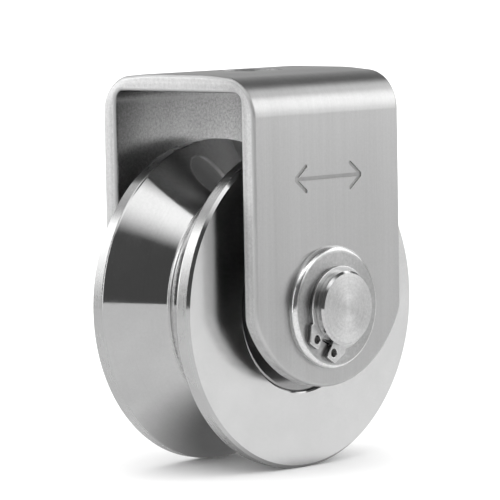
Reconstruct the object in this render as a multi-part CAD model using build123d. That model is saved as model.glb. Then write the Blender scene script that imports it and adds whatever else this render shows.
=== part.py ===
from build123d import *
import os

# A V-groove gate wheel in a U bracket. Millimetres. X is the direction of travel,
# Y runs along the axle with the front at -Y, and +Z is up. The origin is the centre
# of the bracket's top face, where the mounting bolt goes through.

# Wheel
wheel_radius = 37.5
wheel_width = 31.0
rim_land = 3.0             # flat outer band each side of the groove
rim_chamfer = 0.65         # at the rim's outer corners
groove_depth = 9.5
groove_root_flat = 0.5     # half width of the floor of the V
groove_root_fillet = 0.6
groove_lip_radius = 0.9    # rounding where land turns into flank
pocket_chamfer = 0.3

# Axle pin and its end fittings
axle_radius = 8.5
axle_stub = 2.1            # plain end outside the clip groove
axle_chamfer = 0.5
clip_groove_depth = 0.4
clip_thickness = 1.2
clip_play = 0.05           # clip to each wall of its groove, along the axle
clip_band = 1.5            # radial width of the ring
clip_lug_reach = 3.7       # radial height of a lug from the groove's floor
clip_lug_width = 3.1       # across a lug's outer end
clip_lug_taper = 1.8       # how much wider a lug is where it joins the band
clip_lug_rounding = 0.5
clip_lug_gap = 3.4         # clear space between the two lugs
clip_eye_radius = 0.95
clip_eye_setback = 1.9     # eye's centre in from the lug's outer end
clip_edge_rounding = 0.2   # tumbled edges of both faces
clip_gap_angle = 237.0     # where the lugs sit, from +X turning through +Z
washer_radius = 14.05
washer_thickness = 2.2
washer_rounding = 1.5      # outer edge that faces outwards
washer_back_edge = 0.3
bush_fit = 0.05            # radial clearance of washers, spacers and legs on the pin

# Bearings, one each side
bearing_radius = 20.0
bearing_width = 12.0
bearing_recess = 0.5       # bearing's outer face below the wheel's face
bearing_corner = 0.8
ball_radius = 3.375
ball_count = 8
ball_fit = 0.02            # radial clearance between ball and raceway
raceway_ease = 0.135       # a track's radius over the ball's radius
shoulder_opening = 4.0     # radial opening between the two rings' shoulders
cage_sheet = 0.45
cage_fit = 0.12            # cage pocket to ball
cage_side_gap = 0.45       # cage to each ring's shoulder
rivet_radius = 0.42
rivet_head_radius = 0.8
rivet_head_height = 0.3
shield_sheet = 0.4
shield_depth = 0.45        # shield's outer face below the ring's face
shield_seat = 0.5          # radial step in the outer ring that holds the shield
shield_gap = 0.3           # shield to the inner ring's shoulder
spacer_step = 0.4          # spacers' outside below the inner ring's shoulder

# Bracket, one strip of plate pressed to a U
plate = 4.0
bracket_width = 48.5
side_gap = 4.5             # wheel's face to a leg's inner face
top_gap = 12.1             # wheel's rim to the underside of the web
web_land = 18.0            # flat band along the middle of the web's top
web_fall = 1.2             # how far the top would fall from that land to the leg's plane
web_land_rounding = 60.0
bend_outer_radius = 8.8
bend_inner_radius = 2.2
leg_tail = 18.2            # axle centre to the lowest point of a leg
leg_end_allowance = 1.75   # end arc's radius over half the bracket's width
leg_corner_radius = 6.0
edge_rounding = 0.85
mount_hole_radius = 7.0
hole_edge_break = 0.3

# Travel mark stamped in the front leg: a plain double-headed arrow
mark_length = 22.0
mark_barb = 5.0            # length of each stroke of a head
mark_barb_angle = 38.0     # a head's strokes from the shaft
mark_stroke = 0.9
mark_depth = 0.35
mark_above_axle = 29.7

# Places that follow from the sizes above
axle_z = -(plate + top_gap + wheel_radius)
leg_inner_y = wheel_width / 2 + side_gap
leg_outer_y = leg_inner_y + plate
washer_outer_y = leg_outer_y + washer_thickness
clip_outer_y = washer_outer_y + clip_thickness
axle_half_length = clip_outer_y + clip_play + axle_stub
groove_floor_radius = axle_radius - clip_groove_depth
bearing_outer_y = wheel_width / 2 - bearing_recess
bearing_inner_y = bearing_outer_y - bearing_width
pitch_radius = (axle_radius + bearing_radius) / 2
inner_shoulder_radius = pitch_radius - shoulder_opening / 2
outer_shoulder_radius = pitch_radius + shoulder_opening / 2
sides = {"front": -1, "rear": 1}


def at_axle(shape):
    """Moves a shape made about the origin, with Y as its axis, down to the axle."""
    return Pos(0, 0, axle_z) * shape


def turned(*points):
    """A solid turned about the Y axis from (radius, y) points in the XY plane."""
    outline = make_face(Polyline(*points, close=True))
    return revolve(outline, axis=Axis.Y)


def tube(inner, outer, low, high):
    """A plain tube about the Y axis from y = low to y = high."""
    return turned((inner, low), (outer, low), (outer, high), (inner, high))


def disc(radius, low, high):
    return turned((0, low), (radius, low), (radius, high), (0, high))


def ring_edges(solid, radius, y):
    """Circular edges of the given radius about Y that lie at height y."""
    circles = solid.edges().filter_by(GeomType.CIRCLE)
    return [e for e in circles if abs(e.radius - radius) < 0.01 and abs(e.center().Y - y) < 0.01]


def bracket():
    """The U: folded outline drawn in YZ, pulled along X, then its legs are trimmed round."""
    foot = axle_z - leg_tail
    outer = Polyline(
        (-leg_outer_y, foot), (-leg_outer_y, -web_fall), (-web_land / 2, 0),
        (web_land / 2, 0), (leg_outer_y, -web_fall), (leg_outer_y, foot),
        (leg_inner_y, foot), (leg_inner_y, -plate), (-leg_inner_y, -plate), (-leg_inner_y, foot),
        close=True,
    )
    section = make_face(outer)

    def corners(y, z):
        return [v for v in section.vertices() if abs(abs(v.X) - y) < 0.01 and abs(v.Y - z) < 0.01]

    section = fillet(corners(leg_outer_y, -web_fall), bend_outer_radius)
    section = fillet(corners(leg_inner_y, -plate), bend_inner_radius)
    section = fillet(corners(web_land / 2, 0), web_land_rounding)
    folded = extrude(Plane.YZ * section, amount=bracket_width / 2, both=True)

    end_radius = bracket_width / 2 + leg_end_allowance
    arc_z = end_radius - leg_tail
    height = leg_tail - axle_z + plate
    column = Pos(0, height / 2 - leg_tail) * Rectangle(bracket_width, height)
    above_arc = Pos(0, height / 2 + arc_z) * Rectangle(bracket_width, height)
    leg_outline = (Pos(0, arc_z) * Circle(end_radius) & column) + above_arc
    blend = [v for v in leg_outline.vertices() if v.Y < arc_z]
    leg_outline = fillet(blend, leg_corner_radius)
    trim = extrude(Plane.XZ * leg_outline, amount=leg_outer_y + plate, both=True)
    solid = folded & at_axle(trim)

    solid = fillet(plate_rim_edges(solid), edge_rounding)
    solid -= at_axle(disc(axle_radius + bush_fit, -leg_outer_y - plate, leg_outer_y + plate))
    solid -= Pos(0, 0, -plate) * Cylinder(mount_hole_radius, 4 * plate)
    under = [e for e in solid.edges().filter_by(GeomType.CIRCLE)
             if abs(e.radius - mount_hole_radius) < 0.01 and abs(e.center().Z + plate) < 0.01]
    solid = chamfer(under, hole_edge_break)
    bores = [e for y in (leg_inner_y, leg_outer_y) for s in (-1, 1)
             for e in ring_edges(solid, axle_radius + bush_fit, s * y)]
    solid = chamfer(bores, hole_edge_break)
    return solid - travel_mark()


def plate_rim_edges(solid):
    """Edges round the plate's two skins: all those that bound its cut rim."""
    rim = [f for f in solid.faces() if is_rim(f)]
    skin = [f for f in solid.faces() if not is_rim(f)]
    skin_edges = {hash(e): e for f in skin for e in f.edges()}
    return [e for f in rim for e in f.edges() if hash(e) in skin_edges]


def is_rim(face):
    """True for a face of the plate's cut edge, whose normal never leaves the XZ plane."""
    normal = face.normal_at(face.center())
    flat_end = abs(normal.X) > 0.99
    on_leg_end = abs(normal.Y) < 0.01 and face.center().Z < axle_z / 2
    return flat_end or on_leg_end


def travel_mark():
    """The arrow's strokes, standing across the front leg's outer skin."""
    arrow = Rectangle(mark_length, mark_stroke)
    for head in (0, 180):
        for way in (-1, 1):
            barb = Pos(-mark_barb / 2, 0) * SlotOverall(mark_barb, mark_stroke)
            arrow += Rot(0, 0, head) * Pos(mark_length / 2, 0) * Rot(0, 0, way * mark_barb_angle) * barb
    place = Plane(origin=(0, -leg_outer_y, axle_z + mark_above_axle), x_dir=(1, 0, 0), z_dir=(0, -1, 0))
    return extrude(place * arrow, amount=mark_depth, both=True)


def wheel():
    half = wheel_width / 2
    mouth = half - rim_chamfer - rim_land
    root = wheel_radius - groove_depth
    pocket = bearing_inner_y
    outline = make_face(Polyline(
        (outer_shoulder_radius, -pocket), (bearing_radius, -pocket), (bearing_radius, -half),
        (wheel_radius - rim_chamfer, -half), (wheel_radius, -half + rim_chamfer),
        (wheel_radius, -mouth), (root, -groove_root_flat), (root, groove_root_flat),
        (wheel_radius, mouth), (wheel_radius, half - rim_chamfer),
        (wheel_radius - rim_chamfer, half), (bearing_radius, half), (bearing_radius, pocket),
        (outer_shoulder_radius, pocket), close=True,
    ))

    def corners(radius, y):
        return [v for v in outline.vertices() if abs(v.X - radius) < 0.01 and abs(abs(v.Y) - y) < 0.01]

    outline = fillet(corners(wheel_radius, mouth), groove_lip_radius)
    outline = fillet(corners(root, groove_root_flat), groove_root_fillet)
    outline = chamfer(corners(bearing_radius, half), pocket_chamfer)
    return at_axle(revolve(outline, axis=Axis.Y))


def axle_pin():
    solid = disc(axle_radius, -axle_half_length, axle_half_length)
    for end in (-1, 1):
        solid = chamfer(ring_edges(solid, axle_radius, end * axle_half_length), axle_chamfer)
        near = end * (washer_outer_y - clip_play)
        far = end * (clip_outer_y + clip_play)
        solid -= tube(groove_floor_radius, axle_radius + 1, min(near, far), max(near, far))
    return at_axle(solid)


def washer(side):
    low, high = leg_outer_y, washer_outer_y
    solid = tube(axle_radius + bush_fit, washer_radius, low, high)
    solid = fillet(ring_edges(solid, washer_radius, high), washer_rounding)
    solid = fillet(ring_edges(solid, washer_radius, low), washer_back_edge)
    solid = chamfer(ring_edges(solid, axle_radius + bush_fit, high), washer_back_edge)
    return at_axle(facing(side, solid))


def facing(side, solid):
    """Turns a piece made for the rear, +Y, to the front by half a turn about Z."""
    return solid if side > 0 else Rot(0, 0, 180) * solid


def circlip(side):
    """An external ring: a band in the pin's groove, open between two lugs with eyes."""
    lug_end = groove_floor_radius + clip_lug_reach
    half_gap = clip_lug_gap / 2
    shape = Circle(groove_floor_radius + clip_band)
    for way in (-1, 1):
        shape += circlip_lug(way, lug_end, half_gap)
    shape -= Circle(groove_floor_radius)
    shape -= Pos(lug_end, 0) * Rectangle(2 * lug_end, clip_lug_gap)
    eye_x, eye_y = lug_end - clip_eye_setback, half_gap + clip_lug_width / 2
    for way in (-1, 1):
        shape -= Pos(eye_x, way * eye_y) * Circle(clip_eye_radius)
    ring = extrude(Plane.XZ * (Rot(0, 0, clip_gap_angle) * shape), amount=clip_thickness)
    faces = ring.faces().filter_by(Axis.Y)
    ring = fillet(faces.edges(), clip_edge_rounding)
    low = washer_outer_y if side > 0 else -clip_outer_y
    return at_axle(Pos(0, low + clip_thickness, 0) * ring)


def circlip_lug(way, lug_end, half_gap):
    """One lug beside the gap, wider where it joins the band, with its outer corners rounded."""
    edge = half_gap + clip_lug_width
    foot = groove_floor_radius / 2
    lug = make_face(Polyline(
        (foot, way * half_gap), (lug_end, way * half_gap), (lug_end, way * edge),
        (groove_floor_radius, way * (edge + clip_lug_taper)), (foot, way * edge), close=True,
    ))
    return fillet([v for v in lug.vertices() if abs(v.X - lug_end) < 0.01], clip_lug_rounding)


def spacer(low, high):
    return at_axle(tube(axle_radius + bush_fit, inner_shoulder_radius - spacer_step, low, high))


def raceway(floor_radius, outward):
    """Torus that cuts a ball track whose floor lies at floor_radius."""
    track = ball_radius + raceway_ease
    centre = floor_radius - track if outward else floor_radius + track
    return Rot(90, 0, 0) * Torus(centre, track)


def outer_ring():
    half = bearing_width / 2
    step = half - shield_depth - shield_sheet
    seat = outer_shoulder_radius + shield_seat
    solid = turned(
        (outer_shoulder_radius, -step), (seat, -step), (seat, -half), (bearing_radius, -half),
        (bearing_radius, half), (seat, half), (seat, step), (outer_shoulder_radius, step),
    )
    solid -= raceway(pitch_radius + ball_radius + ball_fit, outward=True)
    rims = [e for y in (-half, half) for e in ring_edges(solid, bearing_radius, y)]
    return fillet(rims, bearing_corner)


def inner_ring():
    half = bearing_width / 2
    solid = tube(axle_radius, inner_shoulder_radius, -half, half)
    solid -= raceway(pitch_radius - ball_radius - ball_fit, outward=False)
    rims = [e for y in (-half, half) for e in ring_edges(solid, axle_radius, y)]
    return chamfer(rims, bearing_corner / 2)


def around_pitch(shape, offset=0.0):
    """Copies of a shape on the pitch circle, one for each ball."""
    step = 360 / ball_count
    return [Rot(0, offset + i * step, 0) * Pos(pitch_radius, 0, 0) * shape for i in range(ball_count)]


def balls():
    return Compound(children=around_pitch(Sphere(ball_radius)))


def cage_half(side):
    """Pressed ribbon: half-round pockets joined by flats, which meet the other half's flats."""
    inner = inner_shoulder_radius + cage_side_gap
    outer = outer_shoulder_radius - cage_side_gap
    pocket = ball_radius + cage_fit
    reach = pocket + cage_sheet
    band = tube(inner, outer, 0, reach + 1)
    ribbon = tube(inner, outer, 0, cage_sheet)
    for dome in around_pitch(Sphere(reach)):
        ribbon += dome & band
    for hollow in around_pitch(Sphere(pocket)):
        ribbon -= hollow
    for hole in around_pitch(disc(rivet_radius, -1, 1), 180 / ball_count):
        ribbon -= hole
    return facing_half(side, ribbon)


def facing_half(side, solid):
    """Mirrors a cage half made for +Y to the other side of the ball circle."""
    return solid if side > 0 else mirror(solid, about=Plane.XZ)


def cage_rivets():
    body = disc(rivet_radius, -cage_sheet, cage_sheet)
    head = cage_sheet + rivet_head_height
    body += disc(rivet_head_radius, cage_sheet, head) + disc(rivet_head_radius, -head, -cage_sheet)
    return Compound(children=around_pitch(body, 180 / ball_count))


def shield(side):
    """Thin pressed disc seated in the outer ring's step, just clear of the inner ring."""
    high = bearing_width / 2 - shield_depth
    inner = inner_shoulder_radius + shield_gap
    outer = outer_shoulder_radius + shield_seat
    return facing(side, tube(inner, outer, high - shield_sheet, high))


def bearing(side):
    """Every piece of one bearing, named by what it is. Outside is the side away from the wheel."""
    centre = side * (bearing_inner_y + bearing_outer_y) / 2
    pieces = {
        "outer_ring": outer_ring(),
        "inner_ring": inner_ring(),
        "balls": balls(),
        "cage_outside": cage_half(side),
        "cage_inside": cage_half(-side),
        "cage_rivets": cage_rivets(),
        "shield_outside": shield(side),
        "shield_inside": shield(-side),
    }
    return {name: at_axle(Pos(0, centre, 0) * shape) for name, shape in pieces.items()}


def all_pieces():
    pieces = {"bracket": bracket(), "wheel": wheel(), "axle_pin": axle_pin()}
    pieces["centre_spacer"] = spacer(-bearing_inner_y, bearing_inner_y)
    for name, side in sides.items():
        pieces[f"{name}_washer"] = washer(side)
        pieces[f"{name}_circlip"] = circlip(side)
        low, high = sorted((side * bearing_outer_y, side * leg_inner_y))
        pieces[f"{name}_side_spacer"] = spacer(low, high)
        for part_name, shape in bearing(side).items():
            pieces[f"{name}_bearing_{part_name}"] = shape
    return pieces


os.makedirs("parts", exist_ok=True)
for node, shape in all_pieces().items():
    export_step(shape, f"parts/{node}.step")
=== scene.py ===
import math
import bpy
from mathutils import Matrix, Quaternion, Vector


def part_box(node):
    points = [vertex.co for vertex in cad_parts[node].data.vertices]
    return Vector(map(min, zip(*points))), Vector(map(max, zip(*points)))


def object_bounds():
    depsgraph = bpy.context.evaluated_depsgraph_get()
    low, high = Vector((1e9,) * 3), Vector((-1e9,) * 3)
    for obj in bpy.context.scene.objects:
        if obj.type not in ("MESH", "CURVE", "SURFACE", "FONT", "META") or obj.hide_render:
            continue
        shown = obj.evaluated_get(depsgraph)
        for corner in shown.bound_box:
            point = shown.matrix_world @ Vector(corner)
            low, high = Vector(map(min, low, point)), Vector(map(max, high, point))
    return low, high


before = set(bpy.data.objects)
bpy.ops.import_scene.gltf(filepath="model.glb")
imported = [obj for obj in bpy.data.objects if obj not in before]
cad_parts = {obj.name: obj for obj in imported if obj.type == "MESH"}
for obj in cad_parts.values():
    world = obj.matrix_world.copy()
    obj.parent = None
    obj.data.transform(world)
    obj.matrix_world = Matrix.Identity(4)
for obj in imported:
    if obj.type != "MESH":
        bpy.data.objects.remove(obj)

cad_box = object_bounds()


# ---------------------------------------------------------------------------------------------
# The bracket: one strip of stainless plate, brushed along its length on the outside before it was
# bent to a U. The inside stays matt from pickling, and the cut edges are ground and rubbed bright.
# ---------------------------------------------------------------------------------------------

def add(tree, kind, inputs=None, **options):
    """One shader node, with its options set, and its inputs wired or filled in by name or number."""
    node = tree.nodes.new("ShaderNode" + kind)
    for name, value in options.items():
        setattr(node, name, value)
    for port, value in (inputs or {}).items():
        if isinstance(value, bpy.types.NodeSocket):
            tree.links.new(value, node.inputs[port])
        else:
            node.inputs[port].default_value = value
    return node


def calc(tree, operation, *values):
    """One sum on numbers."""
    return add(tree, "Math", dict(enumerate(values)), operation=operation).outputs[0]


def shift(tree, operation, *values):
    """One sum on vectors; a dot product or a length comes back as a number."""
    node = add(tree, "VectorMath", dict(enumerate(values)), operation=operation)
    return node.outputs["Value" if operation in ("DOT_PRODUCT", "LENGTH") else "Vector"]


def fade(tree, value, low, high, start=0.0, end=1.0):
    """A smooth step from start to end while the value goes from low to high."""
    inputs = {"Value": value, "From Min": low, "From Max": high, "To Min": start, "To Max": end}
    return add(tree, "MapRange", inputs, interpolation_type="SMOOTHSTEP").outputs["Result"]


def blend_of(tree, amount, first, second):
    """A number that goes from first to second with the amount."""
    node = add(tree, "Mix", {0: amount, 2: first, 3: second}, data_type="FLOAT")
    return node.outputs[0]


def marks(tree, place, fineness, detail=3.0, roughness=0.6):
    """Random marks in the metal, from 0 to 1; fineness is how many there are to a metre."""
    inputs = {"Vector": place, "Scale": fineness, "Detail": detail, "Roughness": roughness}
    return add(tree, "TexNoise", inputs, noise_dimensions="3D").outputs[0]


def steel_finish(name, anisotropy=0.0):
    """A bare metal with nothing on it yet: its material, node tree, shader and two place nodes."""
    finish = bpy.data.materials.new(name)
    finish.use_nodes = True
    tree = finish.node_tree
    shader = tree.nodes["Principled BSDF"]
    shader.inputs["Metallic"].default_value = 1.0
    shader.inputs["Anisotropic"].default_value = anisotropy
    place = tree.nodes.new("ShaderNodeTexCoord")
    return finish, tree, shader, place.outputs["Object"], place.outputs["Normal"]


def dress(tree, shader, tone, roughness, height, relief):
    """Wires the colour, the roughness and the fine relief, in metres, to the shader."""
    tree.links.new(tone, shader.inputs["Base Color"])
    tree.links.new(roughness, shader.inputs["Roughness"])
    bump = add(tree, "Bump", {"Strength": 1.0, "Distance": relief, "Height": height})
    tree.links.new(bump.outputs["Normal"], shader.inputs["Normal"])


def paint(finish, *names):
    """Gives a CAD node this finish on every slot."""
    for name in names:
        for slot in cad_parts[name].material_slots:
            slot.material = finish


strip_bend = 0.0088
strip_half_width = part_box("bracket")[1].y
strip_half_span = strip_half_width - strip_bend
strip_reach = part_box("bracket")[1].x
bolt_hole = 0.007
arrow_skin = 0.0001
arrow_floor = 0.0003
arrow_below = -0.011


def strip_steel():
    """Plate brushed down its length outside, pickled inside, and bright at its worn edges."""
    finish, tree, shader, place, normal = steel_finish("strip_steel", anisotropy=0.55)

    # From the line that the strip is bent round, out to the skin: the strip's own upright.
    section = shift(tree, "MULTIPLY", place, (0, 1, 1))
    low = shift(tree, "MAXIMUM", section, (0, -strip_half_span, -1))
    core = shift(tree, "MINIMUM", low, (0, strip_half_span, -strip_bend))
    out = shift(tree, "SUBTRACT", section, core)
    upright = shift(tree, "NORMALIZE", out)
    facing = shift(tree, "DOT_PRODUCT", upright, normal)
    inside = fade(tree, facing, -0.45, -0.9)
    flatness = calc(tree, "ABSOLUTE", facing)
    corner = calc(tree, "MULTIPLY", fade(tree, flatness, 0.08, 0.35), fade(tree, flatness, 0.98, 0.75))

    # The brushing: lines that are long down the strip and fine across it.
    split = add(tree, "SeparateXYZ", {0: place})
    across = split.outputs["X"]
    depth = shift(tree, "LENGTH", out)
    along = calc(tree, "SUBTRACT", calc(tree, "ABSOLUTE", split.outputs["Y"]), split.outputs["Z"])
    line = calc(tree, "MULTIPLY", along, 0.016)
    lay = add(tree, "CombineXYZ", {0: across, 1: depth, 2: line}).outputs[0]
    brushing = marks(tree, lay, 2600.0, detail=4.0, roughness=0.65)
    bands = marks(tree, lay, 420.0, detail=2.0)

    # Clouds of handling and cleaning, and the speckle that pickling leaves inside.
    clouds = marks(tree, place, 55.0, detail=3.0)
    speckle = marks(tree, place, 1500.0, detail=5.0, roughness=0.85)

    # The stamped arrow's floor and the drilled hole's wall stay rough and dull; the underside gets painted
    # shade, darker where its faces look down.
    skin = calc(tree, "ABSOLUTE", split.outputs["Y"])
    sunk = fade(tree, skin, strip_half_width - arrow_skin, strip_half_width - arrow_floor)
    stamped = calc(tree, "MULTIPLY", sunk, fade(tree, facing, 0.6, 0.9))
    lower = fade(tree, split.outputs["Z"], arrow_below, arrow_below - 0.001)
    stamped = calc(tree, "MULTIPLY", stamped, lower)
    from_hole = shift(tree, "LENGTH", shift(tree, "MULTIPLY", place, (1, 1, 0)))
    drilled = fade(tree, from_hole, bolt_hole + 0.0008, bolt_hole + 0.0004)
    normal_split = add(tree, "SeparateXYZ", {0: normal})
    under = fade(tree, normal_split.outputs["Z"], -0.3, -0.8)
    dull = calc(tree, "MAXIMUM", stamped, drilled)

    brushed_rough = calc(tree, "MULTIPLY_ADD", brushing, 0.12, 0.27)
    brushed_rough = calc(tree, "MULTIPLY_ADD", clouds, 0.07, brushed_rough)
    pickled_rough = calc(tree, "MULTIPLY_ADD", speckle, -0.12, 0.40)
    rough = blend_of(tree, inside, brushed_rough, pickled_rough)
    rough = blend_of(tree, corner, rough, 0.55)
    rough = blend_of(tree, dull, rough, 0.55)

    brushed_tone = calc(tree, "MULTIPLY_ADD", bands, 0.08, 0.44)
    brushed_tone = calc(tree, "MULTIPLY_ADD", brushing, 0.08, brushed_tone)
    brushed_tone = calc(tree, "MULTIPLY", brushed_tone, calc(tree, "MULTIPLY_ADD", speckle, 0.30, 0.85))
    rim_tone = calc(tree, "MULTIPLY_ADD", speckle, 0.55, 0.16)
    rim_tone = calc(tree, "MULTIPLY_ADD", bands, 0.50, rim_tone)
    pickled_tone = calc(tree, "MULTIPLY_ADD", speckle, 1.15, -0.06)
    pickled_tone = calc(tree, "MULTIPLY", pickled_tone, calc(tree, "MULTIPLY_ADD", clouds, 0.5, 0.75))

    # Painted shade: the inside is made darker by its cut edges and near the bends, up under the web.
    from_edge = calc(tree, "SUBTRACT", strip_reach, calc(tree, "ABSOLUTE", across))
    edge_stain = fade(tree, from_edge, 0.0, 0.012, 0.62, 1.0)
    bend_stain = fade(tree, split.outputs["Z"], -0.004, -0.024, 0.60, 1.0)
    pickled_tone = calc(tree, "MULTIPLY", pickled_tone, calc(tree, "MULTIPLY", edge_stain, bend_stain))
    tone = blend_of(tree, inside, brushed_tone, pickled_tone)
    tone = blend_of(tree, fade(tree, flatness, 0.4, 0.1), tone, rim_tone)
    tone = blend_of(tree, corner, tone, 0.64)
    tone = calc(tree, "MULTIPLY", tone, fade(tree, dull, 0.0, 1.0, 1.0, 0.86))
    # Painted shade: faces that look down are made darker.
    tone = calc(tree, "MULTIPLY", tone, fade(tree, under, 0.0, 1.0, 1.0, 0.85))

    height = blend_of(tree, inside, brushing, speckle)
    dress(tree, shader, tone, rough, height, relief=0.000006)

    # A brushed face spreads light across its lines.
    edge = fade(tree, flatness, 0.5, 0.4)
    flat_way = add(tree, "Mix", {0: edge, 4: (1, 0, 0), 5: upright}, data_type="VECTOR").outputs[1]
    tree.links.new(flat_way, shader.inputs["Tangent"])
    return finish


paint(strip_steel(), "bracket")


# ---------------------------------------------------------------------------------------------
# The wheel: turned from solid stainless bar. The groove and the two rims are polished like a
# mirror so that they run quietly, and the faces keep the fine rings that the facing tool left.
# ---------------------------------------------------------------------------------------------

axle_line = (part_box("wheel")[0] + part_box("wheel")[1]) / 2


def turned_steel(name, tone, rough, rings, ring_depth, anisotropy=0.6, face_rough=None,
                 face_depth=None, face_tone=None, rim_rough=None, worn_tone=None, haze=0.03,
                 drift=0.35, contrast=0.14, grain=0.15):
    """Steel turned about the axle. Rings are counted to a metre, drift a little off true and show
    with this contrast; haze is how unevenly it is polished, and grain how mottled it is. Flat
    faces, cylinders and worn edges may each have their own look; the worn edges' lighter tone is
    partly a painted highlight."""
    finish, tree, shader, place, normal = steel_finish(name, anisotropy)
    spoke = shift(tree, "SUBTRACT", place, tuple(axle_line))
    flat_spoke = shift(tree, "MULTIPLY", spoke, (1, 0, 1))
    radius = shift(tree, "LENGTH", flat_spoke)
    round_way = shift(tree, "NORMALIZE", shift(tree, "CROSS_PRODUCT", (0, 1, 0), flat_spoke))
    way = add(tree, "SeparateXYZ", {0: round_way})
    split = add(tree, "SeparateXYZ", {0: spoke})

    # Tool marks go round with the work, so they change fast outward and hardly at all round.
    lay = add(tree, "CombineXYZ", {
        0: radius,
        1: split.outputs["Y"],
        2: calc(tree, "MULTIPLY", way.outputs["X"], drift / rings),
    }).outputs[0]
    ring_inputs = {"Vector": lay, "W": calc(tree, "MULTIPLY", way.outputs["Z"], drift / rings),
                   "Scale": rings, "Detail": 3.0, "Roughness": 0.65}
    ring_marks = add(tree, "TexNoise", ring_inputs, noise_dimensions="4D").outputs[0]
    clouds = fade(tree, marks(tree, place, 90.0, detail=4.0, roughness=0.6), 0.35, 0.7)

    upright = calc(tree, "ABSOLUTE", add(tree, "SeparateXYZ", {0: normal}).outputs["Y"])
    face = fade(tree, upright, 0.75, 0.97)
    rim = fade(tree, upright, 0.58, 0.3)
    side_rough = blend_of(tree, rim, rough, rim_rough or rough)
    roughness = blend_of(tree, face, side_rough, face_rough or rough)
    roughness = calc(tree, "MULTIPLY", roughness, calc(tree, "MULTIPLY_ADD", ring_marks, 0.4, 0.8))
    roughness = calc(tree, "MULTIPLY_ADD", clouds, haze, roughness)

    colour = blend_of(tree, face, tone, face_tone or tone)
    if worn_tone:
        # Worn edges get a lighter tone: partly real wear, partly a painted highlight.
        worn = calc(tree, "MULTIPLY", fade(tree, upright, 0.15, 0.4), fade(tree, upright, 0.98, 0.85))
        colour = blend_of(tree, worn, colour, worn_tone)
    ring_tone = calc(tree, "MULTIPLY_ADD", ring_marks, contrast, 1 - contrast / 2)
    colour = calc(tree, "MULTIPLY", colour, ring_tone)
    colour = calc(tree, "MULTIPLY", colour, calc(tree, "MULTIPLY_ADD", clouds, haze, 1 - haze / 2))
    grains = marks(tree, place, 1700.0, detail=4.0, roughness=0.8)
    colour = calc(tree, "MULTIPLY", colour, calc(tree, "MULTIPLY_ADD", grains, grain * 2, 1 - grain))
    height = calc(tree, "MULTIPLY", ring_marks, blend_of(tree, face, ring_depth, face_depth or ring_depth))
    dress(tree, shader, colour, roughness, height, 1.0)

    spread = shift(tree, "CROSS_PRODUCT", normal, round_way)
    world = add(tree, "VectorTransform", {0: spread}, vector_type="VECTOR", convert_from="OBJECT",
                convert_to="WORLD").outputs[0]
    tree.links.new(world, shader.inputs["Tangent"])
    return finish


wheel_finish = turned_steel("wheel_steel", tone=0.53, rough=0.06, rings=3500.0, ring_depth=0.0000002,
                            anisotropy=0.3, face_rough=0.15, face_depth=0.0000005, face_tone=0.71,
                            rim_rough=0.24, haze=0.07, contrast=0.07, grain=0.08)
paint(wheel_finish, "wheel")


# ---------------------------------------------------------------------------------------------
# The two ball bearings: rings of hardened steel, ground all over, polished balls, cages of pressed
# sheet held by rivets, and a thin pressed shield at each side.
# ---------------------------------------------------------------------------------------------

ring_finish = turned_steel("ring_steel", tone=0.55, rough=0.16, rings=2500.0, ring_depth=0.0000008,
                           face_tone=0.34)
ball_finish = turned_steel("ball_steel", tone=0.66, rough=0.04, rings=600.0, ring_depth=0.0000002,
                           anisotropy=0.0)
cage_finish = turned_steel("cage_steel", tone=0.50, rough=0.30, rings=1500.0, ring_depth=0.000002,
                           anisotropy=0.2)
shield_finish = turned_steel("shield_steel", tone=0.40, rough=0.24, rings=1800.0, ring_depth=0.000002)
for end in ("front", "rear"):
    bearing = end + "_bearing_"
    paint(ring_finish, bearing + "outer_ring", bearing + "inner_ring")
    paint(ball_finish, bearing + "balls")
    paint(cage_finish, bearing + "cage_outside", bearing + "cage_inside", bearing + "cage_rivets")
    paint(shield_finish, bearing + "shield_outside", bearing + "shield_inside")


# ---------------------------------------------------------------------------------------------
# The bushes that keep the bearings apart and off the bracket: short lengths of turned tube.
# ---------------------------------------------------------------------------------------------

spacer_finish = turned_steel("spacer_steel", tone=0.52, rough=0.30, rings=1800.0, ring_depth=0.000003)
paint(spacer_finish, "centre_spacer", "front_side_spacer", "rear_side_spacer")


# ---------------------------------------------------------------------------------------------
# The axle pin: a ground bar whose two ends were faced in the lathe and still show its rings.
# ---------------------------------------------------------------------------------------------

pin_finish = turned_steel("pin_steel", tone=0.60, rough=0.12, rings=1400.0, ring_depth=0.0000004,
                          anisotropy=0.65, face_rough=0.30, face_depth=0.00006, face_tone=0.58,
                          drift=0.05, contrast=0.5, grain=0.35)
paint(pin_finish, "axle_pin")


# ---------------------------------------------------------------------------------------------
# The washers: thick turned rings with a rolled, polished rim and a plain ground face. The rim's lighter
# tone is partly a painted highlight.
# ---------------------------------------------------------------------------------------------

washer_finish = turned_steel("washer_steel", tone=0.66, rough=0.16, rings=1500.0, ring_depth=0.0000006,
                             anisotropy=0.4, face_rough=0.34, face_depth=0.000003, face_tone=0.42,
                             worn_tone=0.85, haze=0.10, grain=0.45)
paint(washer_finish, "front_washer", "rear_washer")


# ---------------------------------------------------------------------------------------------
# The circlips: stamped from spring steel, tumbled until the edges shine, and snapped in the groove. The
# edges' lighter tone is partly a painted highlight.
# ---------------------------------------------------------------------------------------------

clip_finish = turned_steel("clip_steel", tone=0.30, rough=0.22, rings=1600.0, ring_depth=0.0000015,
                           anisotropy=0.2, face_rough=0.30, face_depth=0.000002, face_tone=0.56,
                           worn_tone=0.80, haze=0.08, grain=0.3)
paint(clip_finish, "front_circlip", "rear_circlip")


# ---------------------------------------------------------------------------------------------
# The studio: a pale floor with a twin that only the steel mirrors, painted a shade darker and
#  with a painted contact shadow round the wheel; a white surround that lights matt surfaces and
#  fills the view, one wide soft light overhead, and soft panels standing around.
# ---------------------------------------------------------------------------------------------

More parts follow.
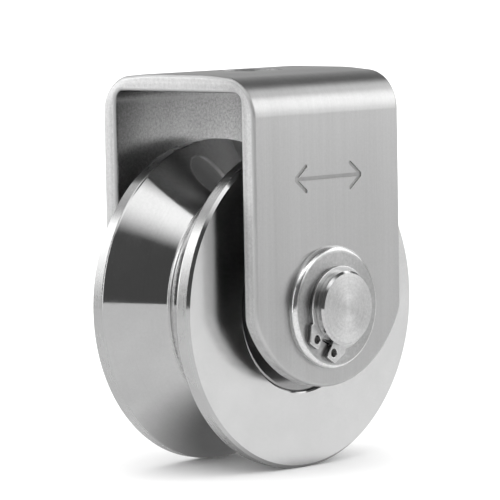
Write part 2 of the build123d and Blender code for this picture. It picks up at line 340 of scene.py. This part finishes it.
def glow(name, strength):
    """A plain white glow, with its node tree and the light node in it."""
    finish = bpy.data.materials.new(name)
    finish.use_nodes = True
    tree = finish.node_tree
    tree.nodes.clear()
    light = add(tree, "Emission", {"Color": (1, 1, 1, 1), "Strength": strength})
    sheet = tree.nodes.new("ShaderNodeOutputMaterial")
    tree.links.new(light.outputs[0], sheet.inputs["Surface"])
    return finish, tree, light


air_glow = 0.10
panel_foot = 0.3


def standing_panel(name, turn, distance, width, low, high, dim, bright, soft):
    """A soft light that stands upright and faces the wheel. It is dim at its foot, bright above it,
    and fades out over the soft share at its sides and top. Turned by 0 degrees it stands at the
    bracket's front, and by 90 at its right."""
    angle = math.radians(turn)
    outward = Vector((math.sin(angle), -math.cos(angle), 0))
    middle = outward * distance + Vector((0, 0, (low + high) / 2))
    bpy.ops.mesh.primitive_plane_add(size=1.0, location=middle)
    sheet = bpy.context.object
    sheet.name = name
    sheet.scale = (width, high - low, 1)
    sheet.rotation_mode = "QUATERNION"
    sheet.rotation_quaternion = (-outward).to_track_quat("Z", "Y")
    finish, tree, light = glow(name + "_glow", bright)
    place = add(tree, "SeparateXYZ", {0: tree.nodes.new("ShaderNodeTexCoord").outputs["Object"]})
    side_room = calc(tree, "SUBTRACT", 0.5, calc(tree, "ABSOLUTE", place.outputs["X"]))
    top_room = calc(tree, "SUBTRACT", 0.5, place.outputs["Y"])
    strength = fade(tree, top_room, 1.0, 1.0 - panel_foot, dim, bright)
    room = calc(tree, "MINIMUM", side_room, top_room)
    fade_out = fade(tree, room, 0.0, soft)
    tree.links.new(blend_of(tree, fade_out, air_glow, strength), light.inputs["Strength"])
    sheet.data.materials.append(finish)
    sheet.visible_camera = False
    sheet.visible_shadow = False
    return sheet


surround_reach = 4.0
floor_reach = 3.8
floor_level = cad_box[0].z


def floor_sheet(name, shade):
    """A round, matt sheet that the wheel stands on."""
    bpy.ops.mesh.primitive_circle_add(vertices=128, radius=floor_reach, fill_type="NGON",
                                      location=(0, 0, floor_level))
    sheet = bpy.context.object
    sheet.name = name
    matt = bpy.data.materials.new(name + "_paint")
    matt.use_nodes = True
    shader = matt.node_tree.nodes["Principled BSDF"]
    shader.inputs["Roughness"].default_value = 0.9
    shader.inputs["Specular IOR Level"].default_value = 0.0
    shader.inputs["Base Color"].default_value = (shade, shade, shade, 1)
    sheet.data.materials.append(matt)
    sheet.visible_shadow = False
    return sheet


floor = floor_sheet("floor", 0.84)
floor.visible_glossy = False
# The twin is painted a shade darker than the floor, so the steel mirrors a darker floor than the camera
# sees.
shade_in_steel = 0.60
# Painted contact shadow: the twin is darkened round the wheel's foot.
shade_under_wheel = 0.12
floor_in_steel = floor_sheet("floor_in_reflections", shade_in_steel)
steel_floor_tree = floor_in_steel.active_material.node_tree
floor_place = steel_floor_tree.nodes.new("ShaderNodeTexCoord").outputs["Object"]
from_wheel = shift(steel_floor_tree, "LENGTH", floor_place)
under_wheel = fade(steel_floor_tree, from_wheel, 0.01, 0.035, shade_under_wheel, shade_in_steel)
steel_floor_shader = steel_floor_tree.nodes["Principled BSDF"]
steel_floor_tree.links.new(under_wheel, steel_floor_shader.inputs["Base Color"])
floor_in_steel.visible_camera = False
floor_in_steel.visible_diffuse = False

surround_finish = glow("surround", 1.7)[0]
bpy.ops.mesh.primitive_uv_sphere_add(segments=64, ring_count=32, radius=surround_reach, location=(0, 0, 0))
surround = bpy.context.object
surround.name = "surround_backdrop"
surround.data.materials.append(surround_finish)
for ray in ("visible_glossy", "visible_transmission", "visible_volume_scatter", "visible_shadow"):
    setattr(surround, ray, False)

world = bpy.data.worlds.new("studio_air")
bpy.context.scene.world = world
world.use_nodes = True
world.node_tree.nodes["Background"].inputs["Color"].default_value = (1, 1, 1, 1)
world.node_tree.nodes["Background"].inputs["Strength"].default_value = air_glow

ring_height = 0.95
ring_reach = 1.35
ring_full = 0.58
ring_inner = 0.50
ring_open = 0.28
ring_strength = 1.7
bpy.ops.mesh.primitive_circle_add(vertices=96, radius=ring_reach, fill_type="NGON",
                                  location=(0, 0, ring_height))
overhead = bpy.context.object
overhead.name = "overhead_light"
overhead_finish, overhead_tree, overhead_light = glow("overhead_glow", ring_strength)
overhead_place = overhead_tree.nodes.new("ShaderNodeTexCoord").outputs["Object"]
from_middle = shift(overhead_tree, "LENGTH", overhead_place)
to_right = add(overhead_tree, "SeparateXYZ", {0: overhead_place}).outputs["X"]
right_fade = fade(overhead_tree, to_right, 0.4, -0.1, 0.08, 1.0)
outer_fade = fade(overhead_tree, from_middle, ring_reach, ring_full, 0.0, ring_strength)
inner_fade = fade(overhead_tree, from_middle, ring_open, ring_inner)
ring_fade = calc(overhead_tree, "MULTIPLY", outer_fade, inner_fade)
ring_fade = calc(overhead_tree, "MULTIPLY", ring_fade, right_fade)
ring_fade = calc(overhead_tree, "MAXIMUM", ring_fade, air_glow)
overhead_tree.links.new(ring_fade, overhead_light.inputs["Strength"])
overhead.data.materials.append(overhead_finish)
for ray in ("visible_camera", "visible_diffuse", "visible_shadow"):
    setattr(overhead, ray, False)

panels = {
    "right_front_panel": (48, 0.55, 0.34, floor_level, 0.46, 0.8, 2.6, 0.25),
    "right_panel": (74, 0.80, 0.50, 0.10, 0.95, 1.8, 1.8, 0.25),
    "front_panel": (12, 0.80, 0.50, 0.12, 1.00, 1.0, 1.9, 0.25),
    "left_back_panel": (-147, 0.55, 0.32, floor_level, 0.46, 1.1, 2.9, 0.25),
    "left_panel": (-96, 0.80, 0.30, floor_level, 0.60, 2.2, 2.2, 0.15),
    "far_back_panel": (-178, 1.0, 1.1, floor_level, 0.9, 0.5, 0.5, 0.1),
    "back_panel": (134, 1.1, 1.3, floor_level, 0.9, 0.5, 0.5, 0.25),
}
for name, place in panels.items():
    panel = standing_panel(name, *place)
    panel.visible_diffuse = name == "right_front_panel"


# ---------------------------------------------------------------------------------------------
# The camera, low at the bracket's open left side, with a long lens.
# ---------------------------------------------------------------------------------------------

look_at = Vector((-0.0011, 0, -0.0416))
view_turn = math.radians(-46.14)
view_rise = math.radians(4.87)
view_lean = math.radians(-1.06)
view_distance = 0.8944
back = Vector((math.sin(view_turn) * math.cos(view_rise), -math.cos(view_turn) * math.cos(view_rise),
               math.sin(view_rise)))
lens = bpy.data.cameras.new("camera")
lens.lens = 278.2
lens.sensor_width = 36.0
camera = bpy.data.objects.new("camera", lens)
bpy.context.scene.collection.objects.link(camera)
camera.location = look_at + back * view_distance
camera.rotation_mode = "QUATERNION"
camera.rotation_quaternion = (-back).to_track_quat("-Z", "Y") @ Quaternion((0, 0, 1), view_lean)
bpy.context.scene.camera = camera
bpy.context.scene.view_settings.view_transform = "Standard"
